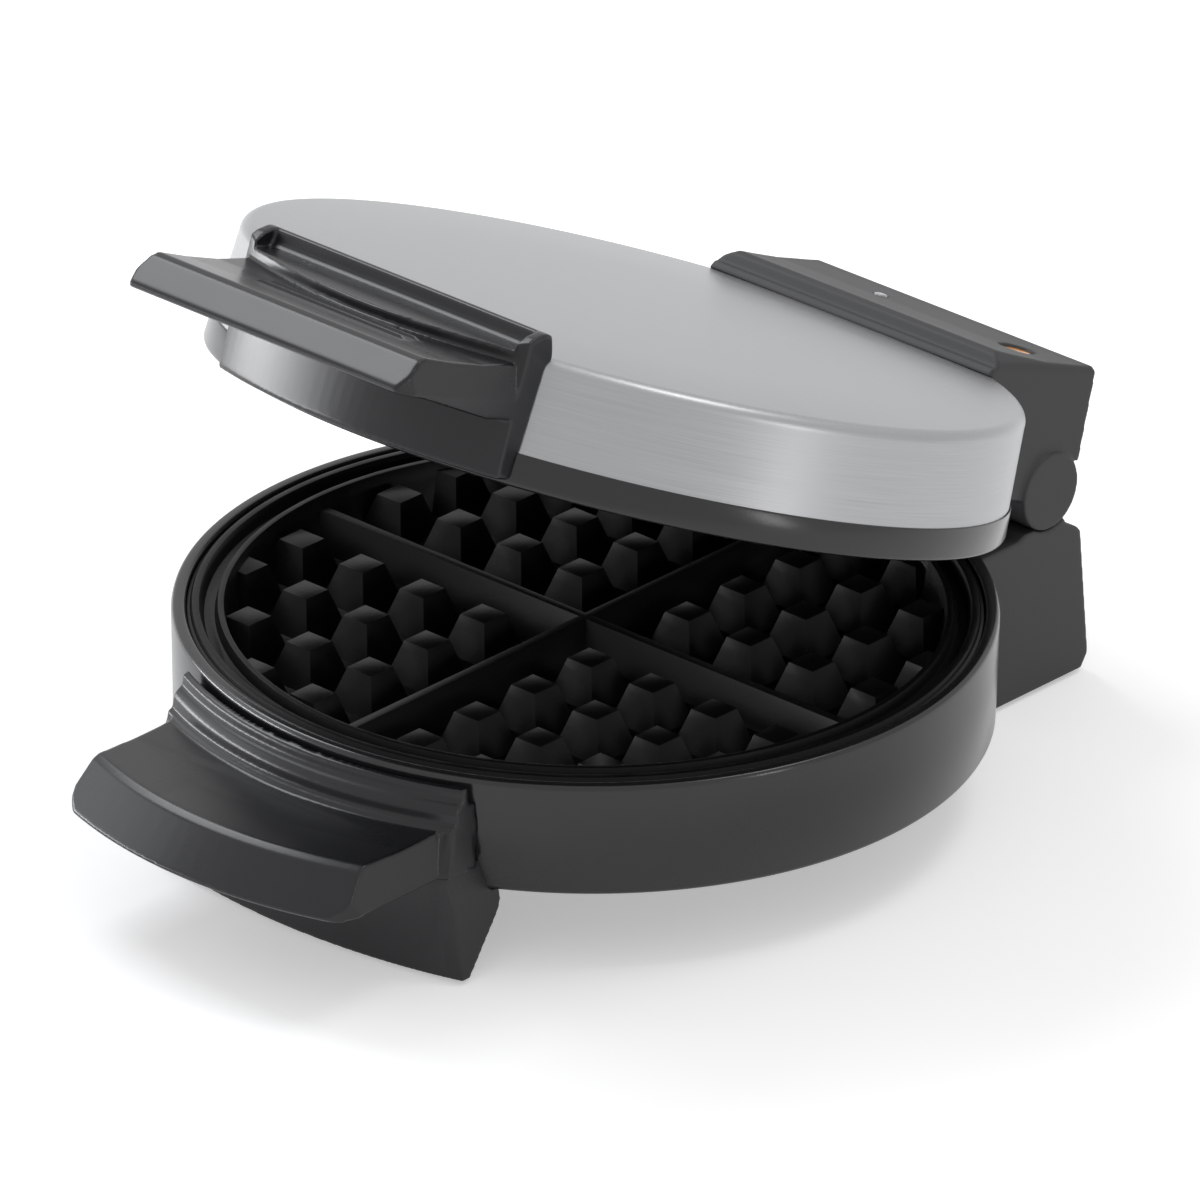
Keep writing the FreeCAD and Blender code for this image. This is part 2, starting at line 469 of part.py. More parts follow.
lid_hinge_block = join([lid_hinge_block] + knuckles)
lid_hinge_block = lid_hinge_block.cut(rod_x(PIN_R + PIN_FIT, -PIN_OUT - 0.5, PIN_OUT + 0.5))
LAMP_ROOF = BLOCK_TOP - 3.0
LAMP_HALF = BLOCK_HIGH - 4.0
lamp_room = block(-LAMP_HALF, LAMP_HALF, BODY_R + 2.5, BLOCK_BACK - 3.0, HINGE_Z + 15.0, LAMP_ROOF)
lid_hinge_block = lid_hinge_block.cut(lamp_room)
WIRE_HALF = 30.0
WIRE_Z = Z_COVER + 18.5
WIRE_H = 3.0
wire_slot = block(-WIRE_HALF, WIRE_HALF, 0.5 * BODY_R, BODY_R + 3.0, WIRE_Z, WIRE_Z + WIRE_H)
lid_hinge_block = lid_hinge_block.cut(wire_slot)
lid_cover = lid_cover.cut(wire_slot)

# Indicator lenses: a round amber one in a shallow recess and a small clear one, with a lamp under each.
LIGHT_Y = HINGE_Y - 7.0
READY_X = 35.3
READY_R = 4.2
POWER_X = -13.5
POWER_R = 1.9
LAMP_R = 1.8
LAMP_H = 9.0
LENS_LOW = LAMP_ROOF - 1.5


def lens(radius, x, z0, z1):
    return Part.makeCylinder(radius, z1 - z0, V(x, LIGHT_Y, z0))


ready_light_lens = lens(READY_R, READY_X, LENS_LOW, BLOCK_TOP - 0.4)
power_light_lens = lens(POWER_R, POWER_X, LENS_LOW, BLOCK_TOP + 0.7)
for cut in (lens(READY_R + FIT, READY_X, LENS_LOW - 1.0, BLOCK_TOP), lens(POWER_R + FIT, POWER_X, LENS_LOW - 1.0, Z_CREST),
            lens(READY_R + 0.9, READY_X, BLOCK_TOP - 1.2, Z_CREST)):
    lid_hinge_block = lid_hinge_block.cut(cut)
indicator_lamps = group([lens(LAMP_R, x, LENS_LOW - LAMP_H, LENS_LOW) for x in (READY_X, POWER_X)])
for cut in bores(hinge_block_spots):
    lid_hinge_block = lid_hinge_block.cut(cut)
hinge_block_screws = group([screw(s) for s in hinge_block_spots])

base_parts = {
    "base_housing": base_housing, "bottom_cover": bottom_cover, "bottom_screws": bottom_screws,
    "base_handle": base_handle, "base_handle_screws": base_handle_screws, "hinge_tower": hinge_tower,
    "tower_screws": tower_screws, "hinge_pins": hinge_pins, "cord_gland": cord_gland,
    "terminal_block": terminal_block, "rubber_feet": rubber_feet, "lower_grid_plate": lower_grid_plate,
    "lower_heating_element": lower_heating_element, "lower_element_clips": lower_element_clips,
    "lower_heat_reflector": lower_heat_reflector, "thermostat": thermostat, "thermal_fuse": thermal_fuse}
lid_parts = {
    "lid_cover": lid_cover, "lid_ring": lid_ring, "lid_handle": lid_handle,
    "lid_handle_screws": lid_handle_screws, "lid_hinge_block": lid_hinge_block,
    "hinge_block_screws": hinge_block_screws, "ready_light_lens": ready_light_lens,
    "power_light_lens": power_light_lens, "indicator_lamps": indicator_lamps,
    "upper_grid_plate": upper_grid_plate, "upper_heating_element": upper_heating_element,
    "upper_element_clips": upper_element_clips, "upper_heat_reflector": upper_heat_reflector}

# Turn the lid to its photographed angle and centre the whole part on its footprint.
for shape in lid_parts.values():
    shape.rotate(V(0, HINGE_Y, HINGE_Z), V(-1, 0, 0), OPEN_REST)
everything = dict(base_parts)
everything.update(lid_parts)
box = group(list(everything.values())).BoundBox
shift = V(-(box.XMin + box.XMax) / 2, -(box.YMin + box.YMax) / 2, 0)
for name, shape in everything.items():
    shape.translate(shift)
    shape.exportStep(os.path.join("parts", name + ".step"))
print("box", [round(v, 2) for v in (box.XLength, box.YLength, box.ZLength)], "shift y", round(shift.y, 3))
print("hinge", round(HINGE_Y + shift.y, 3), round(HINGE_Z, 3))
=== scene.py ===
import json
import math
import bpy
from mathutils import Euler, Matrix, Vector

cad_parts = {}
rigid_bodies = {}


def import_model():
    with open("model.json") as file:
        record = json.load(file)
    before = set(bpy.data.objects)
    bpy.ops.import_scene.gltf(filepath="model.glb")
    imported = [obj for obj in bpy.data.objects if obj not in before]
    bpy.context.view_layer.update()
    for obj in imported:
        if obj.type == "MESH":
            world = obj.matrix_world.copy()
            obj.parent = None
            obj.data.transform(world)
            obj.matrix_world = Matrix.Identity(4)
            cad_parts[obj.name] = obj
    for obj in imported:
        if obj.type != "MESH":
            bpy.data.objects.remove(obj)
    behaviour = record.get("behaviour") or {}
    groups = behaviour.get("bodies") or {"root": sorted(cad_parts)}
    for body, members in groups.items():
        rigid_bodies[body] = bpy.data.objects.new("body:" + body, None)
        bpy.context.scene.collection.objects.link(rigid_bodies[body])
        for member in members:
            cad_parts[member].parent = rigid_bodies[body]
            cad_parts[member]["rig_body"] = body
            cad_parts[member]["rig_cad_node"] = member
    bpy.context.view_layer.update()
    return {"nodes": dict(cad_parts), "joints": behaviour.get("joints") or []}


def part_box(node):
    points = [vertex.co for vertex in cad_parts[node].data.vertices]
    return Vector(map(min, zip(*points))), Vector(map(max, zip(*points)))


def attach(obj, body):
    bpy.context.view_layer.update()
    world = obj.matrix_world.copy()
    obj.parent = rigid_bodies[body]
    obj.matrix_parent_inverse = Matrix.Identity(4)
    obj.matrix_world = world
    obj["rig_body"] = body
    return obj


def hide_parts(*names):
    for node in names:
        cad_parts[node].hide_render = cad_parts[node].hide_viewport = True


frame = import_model()

# Base housing: the round dark tub, one moulding in heat-proof plastic with a satin face.
# A lip runs round its rim, and a ledge inside the lip carries the lower grid plate.
MM = 0.001
AXIS_Y = sum(c.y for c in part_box("base_housing")) / 2
TUB_LOW, TUB_TOP = (c.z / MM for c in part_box("base_housing"))


def only(obj):
    if bpy.context.object is not None and bpy.context.object.mode != "OBJECT":
        bpy.ops.object.mode_set(mode="OBJECT")
    bpy.ops.object.select_all(action="DESELECT")
    obj.select_set(True)
    bpy.context.view_layer.objects.active = obj


def drawn(name, line):
    """A line through points in metres, left in edit mode with all of it selected."""
    bpy.ops.object.select_all(action="DESELECT")
    bpy.ops.mesh.primitive_plane_add(size=MM, location=(0, 0, 0))
    obj = bpy.context.object
    obj.name = name
    bpy.ops.object.mode_set(mode="EDIT")
    bpy.ops.mesh.select_all(action="SELECT")
    bpy.ops.mesh.merge(type="CENTER")
    bpy.ops.transform.translate(value=line[0])
    for here, there in zip(line, line[1:]):
        step = [b - a for a, b in zip(here, there)]
        bpy.ops.mesh.extrude_vertices_move(TRANSFORM_OT_translate={"value": step})
    bpy.ops.mesh.select_all(action="SELECT")
    return obj


def turned(name, profile, steps):
    """A profile of (radius, height) in millimetres, spun round the body's axis."""
    obj = drawn(name, [(r * MM, AXIS_Y, z * MM) for r, z in profile])
    bpy.ops.mesh.spin(steps=steps, angle=2 * math.pi, center=(0, AXIS_Y, 0), axis=(0, 0, 1))
    bpy.ops.mesh.select_all(action="SELECT")
    bpy.ops.mesh.remove_doubles(threshold=2e-6)
    bpy.ops.mesh.normals_make_consistent(inside=False)
    bpy.ops.object.mode_set(mode="OBJECT")
    return obj


def eased(obj, width, segments=3, angle=28):
    """A small bevel on every corner over the angle, as on a moulding, then smooth faces."""
    only(obj)
    bevel = obj.modifiers.new("ease", "BEVEL")
    bevel.width = width * MM
    bevel.segments = segments
    bevel.limit_method = "ANGLE"
    bevel.angle_limit = math.radians(angle)
    bevel.harden_normals = False
    bpy.ops.object.modifier_apply(modifier=bevel.name)
    bpy.ops.object.shade_smooth_by_angle(angle=math.radians(32))
    return obj


def sockets(group, places):
    for name, way, kind, value in places:
        s = group.interface.new_socket(name=name, in_out=way, socket_type=kind)
        if value is not None:
            s.default_value = value


def moulded_grain():
    """Fine spark-eroded grain of a moulding with faint, wide cloudiness: Height, Tone and Polish."""
    g = bpy.data.node_groups.new("moulded_grain", "ShaderNodeTree")
    number = "NodeSocketFloat"
    sockets(g, [("Grain Scale", "INPUT", number, 1600.0), ("Cloud Scale", "INPUT", number, 28.0),
                ("Base Polish", "INPUT", number, 0.4), ("Height", "OUTPUT", number, None),
                ("Tone", "OUTPUT", number, None), ("Polish", "OUTPUT", number, None)])
    n, l = g.nodes, g.links
    gin, gout = n.new("NodeGroupInput"), n.new("NodeGroupOutput")
    place = n.new("ShaderNodeTexCoord")
    grain, cloud = n.new("ShaderNodeTexNoise"), n.new("ShaderNodeTexNoise")
    grain.inputs["Detail"].default_value = 3.0
    cloud.inputs["Detail"].default_value = 4.0
    for tex, scale in ((grain, "Grain Scale"), (cloud, "Cloud Scale")):
        l.new(place.outputs["Object"], tex.inputs["Vector"])
        l.new(gin.outputs[scale], tex.inputs["Scale"])
    l.new(grain.outputs["Fac"], gout.inputs["Height"])
    l.new(cloud.outputs["Fac"], gout.inputs["Tone"])
    swing = n.new("ShaderNodeMapRange")
    swing.inputs["To Min"].default_value = -0.05
    swing.inputs["To Max"].default_value = 0.05
    l.new(cloud.outputs["Fac"], swing.inputs["Value"])
    add = n.new("ShaderNodeMath")
    l.new(gin.outputs["Base Polish"], add.inputs[0])
    l.new(swing.outputs["Result"], add.inputs[1])
    l.new(add.outputs["Value"], gout.inputs["Polish"])
    return g


GRAIN = moulded_grain()


def moulding(name, dark, light, polish, grain_scale=1600.0, depth=0.05, shine=0.5):
    """A plastic finish: two close tones mixed by the cloudiness, grain as bump."""
    m = bpy.data.materials.new(name)
    m.use_nodes = True
    n, l = m.node_tree.nodes, m.node_tree.links
    shader = n["Principled BSDF"]
    grain = n.new("ShaderNodeGroup")
    grain.node_tree = GRAIN
    grain.inputs["Grain Scale"].default_value = grain_scale
    grain.inputs["Base Polish"].default_value = polish
    tones = n.new("ShaderNodeValToRGB")
    tones.color_ramp.elements[0].position = 0.3
    tones.color_ramp.elements[1].position = 0.7
    tones.color_ramp.elements[0].color = (*dark, 1)
    tones.color_ramp.elements[1].color = (*light, 1)
    bump = n.new("ShaderNodeBump")
    bump.inputs["Strength"].default_value = depth
    bump.inputs["Distance"].default_value = 0.0004
    l.new(grain.outputs["Tone"], tones.inputs["Fac"])
    l.new(tones.outputs["Color"], shader.inputs["Base Color"])
    l.new(grain.outputs["Polish"], shader.inputs["Roughness"])
    l.new(grain.outputs["Height"], bump.inputs["Height"])
    l.new(bump.outputs["Normal"], shader.inputs["Normal"])
    shader.inputs["Specular IOR Level"].default_value = shine
    return m


CHARCOAL = moulding("charcoal_moulding", (0.013, 0.0135, 0.0145), (0.018, 0.0185, 0.0195),
                    0.21)


def dress(obj, material, body, slot, *nodes):
    obj.data.materials.clear()
    obj.data.materials.append(material)
    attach(obj, body)
    if nodes:
        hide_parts(*nodes)
    return obj


housing_line = [
    (102.2, TUB_LOW), (108.2, TUB_LOW), (109.0, TUB_LOW + 0.5), (109.4, TUB_LOW + 1.4),
    (109.75, TUB_LOW + 18.0), (110.0, TUB_TOP - 1.6), (109.75, TUB_TOP - 0.6), (109.1, TUB_TOP),
    (106.9, TUB_TOP), (106.1, TUB_TOP - 0.7), (106.1, TUB_TOP - 4.0), (102.2, TUB_TOP - 4.0),
    (102.2, TUB_TOP - 6.2), (106.8, TUB_TOP - 8.6), (106.8, TUB_LOW + 4.0), (96.0, TUB_LOW + 4.0),
    (96.0, TUB_LOW + 2.0), (102.2, TUB_LOW + 2.0), (102.2, TUB_LOW)]
SHELL_STEPS, SHELL_EASE = 220, 0.35
tub = turned("tub_shell", housing_line, SHELL_STEPS)
eased(tub, SHELL_EASE, 2)
dress(tub, CHARCOAL, "base", "charcoal", "base_housing")

# Bottom cover: a flat vented disc in the same plastic, let into the underside of the tub.
# Four pan-head screws hold it, and the vent slots have eased edges.
def lifted(node, name):
    """A copy of a solid with its loose triangles merged into clean faces, ready to be worked on."""
    source = frame["nodes"][node]
    only(source)
    bpy.ops.object.duplicate()
    obj = bpy.context.object
    obj.name = name
    obj.data = obj.data.copy()
    obj.data.name = name
    obj.parent = None
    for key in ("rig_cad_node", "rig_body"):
        if key in obj:
            del obj[key]
    only(obj)
    bpy.ops.object.mode_set(mode="EDIT")
    bpy.ops.mesh.select_all(action="SELECT")
    bpy.ops.mesh.customdata_custom_splitnormals_clear()
    bpy.ops.mesh.remove_doubles(threshold=1e-6)
    bpy.ops.mesh.dissolve_limited(angle_limit=math.radians(0.6))
    bpy.ops.object.mode_set(mode="OBJECT")
    return obj


under = eased(lifted("bottom_cover", "bottom_cover_disc"), 0.3, 2)
dress(under, CHARCOAL, "base", "charcoal", "bottom_cover")

# Base handle: saddle, grip and leg in one hollow-backed moulding, smoother and blacker than the tub.
# Its flanks draw in, the heel of the leg is cut back, and webs join the grip to the leg.
def softened(obj, voxel, passes, keep):
    """Rounded corners: a fine even mesh, eased and thinned, with only its outer shell kept."""
    only(obj)
    remesh = obj.modifiers.new("skin", "REMESH")
    remesh.mode = "VOXEL"
    remesh.voxel_size = voxel * MM
    bpy.ops.object.modifier_apply(modifier=remesh.name)
    ease = obj.modifiers.new("ease", "SMOOTH")
    ease.factor = 0.5
    ease.iterations = passes
    bpy.ops.object.modifier_apply(modifier=ease.name)
    thin = obj.modifiers.new("thin", "DECIMATE")
    thin.ratio = keep
    bpy.ops.object.modifier_apply(modifier=thin.name)
    bpy.ops.object.mode_set(mode="EDIT")
    bpy.ops.mesh.select_mode(type="VERT")
    bpy.ops.mesh.select_all(action="DESELECT")
    bpy.ops.object.mode_set(mode="OBJECT")
    max(obj.data.vertices, key=lambda v: v.co.length).select = True
    bpy.ops.object.mode_set(mode="EDIT")
    bpy.ops.mesh.select_linked()
    bpy.ops.mesh.select_all(action="INVERT")
    bpy.ops.mesh.delete(type="VERT")
    bpy.ops.object.mode_set(mode="OBJECT")
    bpy.ops.object.shade_smooth()
    return obj


def across(name, profile, x0, x1):
    """A bar along x: a profile of (y, z) in millimetres from the body's axis, pushed from x0 to x1."""
    obj = drawn(name, [(x0 * MM, AXIS_Y + y * MM, z * MM) for y, z in profile])
    bpy.ops.mesh.edge_face_add()
    bpy.ops.mesh.extrude_region_move(TRANSFORM_OT_translate={"value": ((x1 - x0) * MM, 0, 0)})
    bpy.ops.mesh.select_all(action="SELECT")
    bpy.ops.mesh.normals_make_consistent(inside=False)
    bpy.ops.object.mode_set(mode="OBJECT")
    return obj


def hull(name, points):
    """The tight skin round points (x, y, z) in millimetres from the body's axis."""
    obj = drawn(name, [(x * MM, AXIS_Y + y * MM, z * MM) for x, y, z in points])
    bpy.ops.mesh.convex_hull()
    bpy.ops.mesh.normals_make_consistent(inside=False)
    bpy.ops.object.mode_set(mode="OBJECT")
    return obj


def trimmed(obj, tool, way="DIFFERENCE"):
    """Cut a tool's shape from a piece, join it on, or keep what lies in it; the tool goes."""
    only(obj)
    trim = obj.modifiers.new("trim", "BOOLEAN")
    trim.operation = way
    trim.solver = "EXACT"
    trim.object = tool
    bpy.ops.object.modifier_apply(modifier=trim.name)
    bpy.data.objects.remove(tool)
    return obj


def welded(obj, extra):
    """Lay a closed form into a piece; the skin drawn over both makes them one."""
    only(obj)
    extra.select_set(True)
    bpy.ops.object.join()
    return obj


SATIN = moulding("black_satin_moulding", (0.0075, 0.008, 0.0095), (0.0105, 0.011, 0.0125),
                 0.28, 1900.0, 0.012, 0.42)
FLANK_X, FLANK_TOP, FLANK_IN = 50.6, 41.0, 3.2
FADE_LOW, FADE_HIGH = 12.0, 10.0
HEEL_IN, HEEL_OUT = 46.5, 64.0
low_handle = lifted("base_handle", "base_handle_moulding")
for v in low_handle.data.vertices:
    height = v.co.z / MM
    if abs(v.co.x) > FLANK_X * MM and height < FLANK_TOP:
        share = min(1.0, height / FADE_LOW, (FLANK_TOP - height) / FADE_HIGH)
        v.co.x -= math.copysign(FLANK_IN * MM * share, v.co.x)
heel = [(-109.0, -1.0), (-93.0, 15.0), (-88.0, 24.0), (-80.0, 24.0), (-80.0, -1.0)]
for side in (-1, 1):
    trimmed(low_handle, across("heel_cut", heel, side * HEEL_IN, side * HEEL_OUT))
WEB_LOW, WEB_TOP = 29.5, 41.4
web = [(46.0, -113.4, WEB_LOW), (50.3, -112.2, WEB_LOW), (52.6, -109.8, WEB_LOW),
       (52.4, -99.0, WEB_LOW), (46.0, -99.0, WEB_LOW),
       (46.0, -108.6, WEB_TOP), (50.6, -107.6, WEB_TOP), (51.0, -106.6, WEB_TOP),
       (50.8, -99.5, WEB_TOP), (46.0, -99.5, WEB_TOP)]
for side in (-1, 1):
    welded(low_handle, hull("flank_web", [(side * x, y, z) for x, y, z in web]))
softened(low_handle, 0.38, 14, 0.28)
dress(low_handle, SATIN, "base", "black_satin", "base_handle")

# Hinge tower: the rear leg in a duller charcoal plastic than the tub, hollow below.
# It carries the middle knuckle for the pins, with its corners rounded more than the tub's.
MATTE = moulding("matte_charcoal_moulding", (0.029, 0.0295, 0.0305), (0.037, 0.0375, 0.0385),
                 0.55, 1300.0, 0.08, 0.4)
tower = softened(lifted("hinge_tower", "hinge_tower_moulding"), 0.5, 7, 0.3)
dress(tower, MATTE, "base", "charcoal", "hinge_tower")

# Grid plates: cast aluminium with a black non-stick coat, ringed by a lip and a drip groove.
# Every stud and ridge of the grid has rounded edges from the casting.
def coated():
    """Black coating: a soft gloss broken by fine orange peel and small paler flecks."""
    m = bpy.data.materials.new("nonstick_coat")
    m.use_nodes = True
    n, l = m.node_tree.nodes, m.node_tree.links
    shader = n["Principled BSDF"]
    grain = n.new("ShaderNodeGroup")
    grain.node_tree = GRAIN
    grain.inputs["Grain Scale"].default_value = 700.0
    grain.inputs["Cloud Scale"].default_value = 60.0
    grain.inputs["Base Polish"].default_value = 0.34
    shader.inputs["Specular IOR Level"].default_value = 0.12
    place = n.new("ShaderNodeTexCoord")
    flecks = n.new("ShaderNodeTexVoronoi")
    flecks.inputs["Scale"].default_value = 900.0
    l.new(place.outputs["Object"], flecks.inputs["Vector"])
    ramp = n.new("ShaderNodeValToRGB")
    ramp.color_ramp.elements[0].position = 0.05
    ramp.color_ramp.elements[1].position = 0.16
    ramp.color_ramp.elements[0].color = (0.016, 0.016, 0.0165, 1)
    ramp.color_ramp.elements[1].color = (0.0055, 0.0055, 0.006, 1)
    l.new(flecks.outputs["Distance"], ramp.inputs["Fac"])
    l.new(ramp.outputs["Color"], shader.inputs["Base Color"])
    bump = n.new("ShaderNodeBump")
    bump.inputs["Strength"].default_value = 0.06
    bump.inputs["Distance"].default_value = 0.0006
    l.new(grain.outputs["Height"], bump.inputs["Height"])
    l.new(bump.outputs["Normal"], shader.inputs["Normal"])
    l.new(grain.outputs["Polish"], shader.inputs["Roughness"])
    return m


COAT = coated()
CAST_EASE, CAST_ANGLE = 0.7, 24
low_plate = eased(lifted("lower_grid_plate", "lower_plate_casting"), CAST_EASE, 2, CAST_ANGLE)
dress(low_plate, COAT, "base", "nonstick", "lower_grid_plate")
top_plate = eased(lifted("upper_grid_plate", "upper_plate_casting"), CAST_EASE, 2, CAST_ANGLE)
dress(top_plate, COAT, "lid", "nonstick", "upper_grid_plate")

# Feet and cord gland: black rubber, the feet pressed on under the leg and the tower.
# The gland is a ribbed sleeve where the mains lead would leave the tower.
RUBBER = moulding("black_rubber", (0.018, 0.018, 0.018), (0.028, 0.028, 0.028),
                  0.75, 900.0, 0.12)
feet = eased(lifted("rubber_feet", "rubber_pads"), 0.3, 2)
dress(feet, RUBBER, "base", "black_rubber", "rubber_feet")
gland = eased(lifted("cord_gland", "gland_sleeve"), 0.6, 3)
dress(gland, RUBBER, "base", "black_rubber", "cord_gland")

# Lid ring: the charcoal plastic ring that closes the lid's underside and seats the metal cover.
# It is turned closed and then swung to the lid's open angle about the hinge.
HINGE = frame["joints"][0]["pos_m"]
OPEN = 20.3
LID_LOW = TUB_TOP + 1.6
SEAM = LID_LOW + 9.0
CROWN = SEAM + 25.6


def swung(obj):
    """A piece drawn with the lid shut, turned about the hinge to the open angle."""
    to_axis = Matrix.Translation(Vector(HINGE))
    lift = Matrix.Rotation(math.radians(OPEN), 4, (-1, 0, 0))
    obj.data.transform(to_axis @ lift @ to_axis.inverted())
    obj.data.update()
    return obj


ring_line = [
    (106.1, LID_LOW), (108.0, LID_LOW), (109.0, LID_LOW + 0.5), (109.3, LID_LOW + 1.5),
    (109.1, LID_LOW + 5.0), (108.9, SEAM - 0.05), (107.4, SEAM - 0.05), (106.7, SEAM + 5.0),
    (105.9, SEAM + 5.6), (105.9, SEAM + 16.2), (103.1, SEAM + 16.2), (103.1, LID_LOW + 6.0),
    (102.3, LID_LOW + 6.0), (102.3, LID_LOW + 3.8), (106.1, LID_LOW + 3.8), (106.1, LID_LOW)]
ring = swung(turned("lid_ring_moulding", ring_line, SHELL_STEPS))
eased(ring, SHELL_EASE, 2)
dress(ring, CHARCOAL, "lid", "charcoal", "lid_ring")

# Lid cover: a spun dish of brushed stainless sheet, with a small round where top meets wall.
# The brushing runs straight across the top and round the wall.
def brushed():
    """Brushed sheet: two sets of stretched streaks, one for the top and one for the wall."""
    m = bpy.data.materials.new("brushed_cover_sheet")
    m.use_nodes = True
    n, l = m.node_tree.nodes, m.node_tree.links
    shader = n["Principled BSDF"]
    shader.inputs["Metallic"].default_value = 1.0
    place = n.new("ShaderNodeTexCoord")
    level = n.new("ShaderNodeMapping")
    level.vector_type = "TEXTURE"
    level.inputs["Location"].default_value = HINGE
    level.inputs["Rotation"].default_value = (math.radians(-OPEN), 0, 0)
    l.new(place.outputs["Object"], level.inputs["Vector"])
    streaks = []
    for scale in ((40, 2600, 2600), (30, 30, 5200)):
        stretch = n.new("ShaderNodeMapping")
        stretch.inputs["Scale"].default_value = scale
        l.new(level.outputs["Vector"], stretch.inputs["Vector"])
        noise = n.new("ShaderNodeTexNoise")
        noise.inputs["Scale"].default_value = 1.0
        noise.inputs["Detail"].default_value = 2.0
        l.new(stretch.outputs["Vector"], noise.inputs["Vector"])
        streaks.append(noise)
    split = n.new("ShaderNodeSeparateXYZ")
    l.new(level.outputs["Vector"], split.inputs["Vector"])
    on_top = n.new("ShaderNodeMapRange")
    on_top.inputs["From Min"].default_value = (CROWN - 2.5) * MM - HINGE[2]
    on_top.inputs["From Max"].default_value = (CROWN - 0.6) * MM - HINGE[2]
    l.new(split.outputs["Z"], on_top.inputs["Value"])
    pick = n.new("ShaderNodeMix")
    l.new(on_top.outputs["Result"], pick.inputs["Factor"])
    l.new(streaks[1].outputs["Fac"], pick.inputs["A"])
    l.new(streaks[0].outputs["Fac"], pick.inputs["B"])
    tone = n.new("ShaderNodeValToRGB")
    tone.color_ramp.elements[0].position = 0.25
    tone.color_ramp.elements[1].position = 0.75
    tone.color_ramp.elements[0].color = (0.352, 0.357, 0.364, 1)
    tone.color_ramp.elements[1].color = (0.418, 0.423, 0.43, 1)
    l.new(pick.outputs["Result"], tone.inputs["Fac"])
    l.new(tone.outputs["Color"], shader.inputs["Base Color"])
    polish = n.new("ShaderNodeMapRange")
    polish.inputs["To Min"].default_value = 0.30
    polish.inputs["To Max"].default_value = 0.42
    l.new(pick.outputs["Result"], polish.inputs["Value"])
    l.new(polish.outputs["Result"], shader.inputs["Roughness"])
    bump = n.new("ShaderNodeBump")
    bump.inputs["Strength"].default_value = 0.08
    bump.inputs["Distance"].default_value = 0.0003
    l.new(pick.outputs["Result"], bump.inputs["Height"])
    l.new(bump.outputs["Normal"], shader.inputs["Normal"])
    return m


COVER_R, COVER_T, COVER_STEPS = 108.3, 0.8, 240


def cover_line(inset):
    """Wall, rounded edge and slightly crowned top, drawn in from the outer face by the inset."""
    line = [(COVER_R - inset, SEAM), (106.9 - inset, CROWN - 4.2)]
    for step in range(9):
        a = math.radians(90 * step / 8)
        line.append((103.6 + (3.3 - inset) * math.cos(a), CROWN - 3.4 + (3.4 - inset) * math.sin(a)))
    crown = [(68.0, 0.68), (30.0, 1.0), (0.0, 1.1)]
    return line + [(r, CROWN + rise - inset) for r, rise in crown]


sheet_line = cover_line(0) + list(reversed(cover_line(COVER_T))) + [(COVER_R, SEAM)]
cover = turned("lid_cover_sheet", sheet_line, COVER_STEPS)
swung(cover)
only(cover)
bpy.ops.object.shade_smooth_by_angle(angle=math.radians(40))
dress(cover, brushed(), "lid", "brushed_cover", "lid_cover")

# Lid handle: the same black moulding as the base handle, wrapped round the front of the lid.
# A crest stands over the cover's edge, with a cove below it and two fine lines on the grip.
COVE_HALF, LIP_HALF, LIP_STEPS = 46.0, 49.5, 180
LINE_HALF, LINE_TAPER, LINE_SINK = 27.0, 2.4, 0.4
LINE_EDGES = ((0.0, -0.9), (0.0, 0.9), (1.0, -0.35), (1.0, 0.35))
top_handle = lifted("lid_handle", "lid_handle_moulding")
cove = [(-97.8, 95.7), (-98.2, 92.4), (-99.4, 91.1), (-103.0, 90.8), (-106.5, 90.6),
        (-106.5, 99.0), (-97.8, 99.0)]
trimmed(top_handle, swung(across("cove_cut", cove, -COVE_HALF, COVE_HALF)))
lip_line = [(109.5, 56.8), (114.2, 56.8), (114.6, 57.6), (114.6, 60.0), (109.5, 60.0), (109.5, 56.8)]
lip = swung(turned("skirt_lip", lip_line, LIP_STEPS))
front = [(-60.0, 50.0), (-130.0, 50.0), (-130.0, 66.0), (-60.0, 66.0)]
keep = swung(across("lip_end", front, -LIP_HALF, LIP_HALF))
welded(top_handle, trimmed(lip, keep, "INTERSECT"))
softened(top_handle, 0.4, 10, 0.3)
for y, z in ((-119.5, 86.95), (-125.0, 87.1)):
    line = [(side * (LINE_HALF - LINE_TAPER * up), y + half, z - LINE_SINK + up)
            for side in (-1, 1) for up, half in LINE_EDGES]
    trimmed(top_handle, swung(hull("grip_line", line)), "UNION")
bpy.ops.object.shade_smooth_by_angle(angle=math.radians(50))
dress(top_handle, SATIN, "lid", "black_satin", "lid_handle")

# Hinge block: the dull charcoal housing behind the lid, in the same plastic as the tower.
# Its round end knuckles turn on the pins.
hinge_block = softened(lifted("lid_hinge_block", "hinge_block_moulding"), 0.45, 7, 0.3)
dress(hinge_block, MATTE, "lid", "charcoal", "lid_hinge_block")

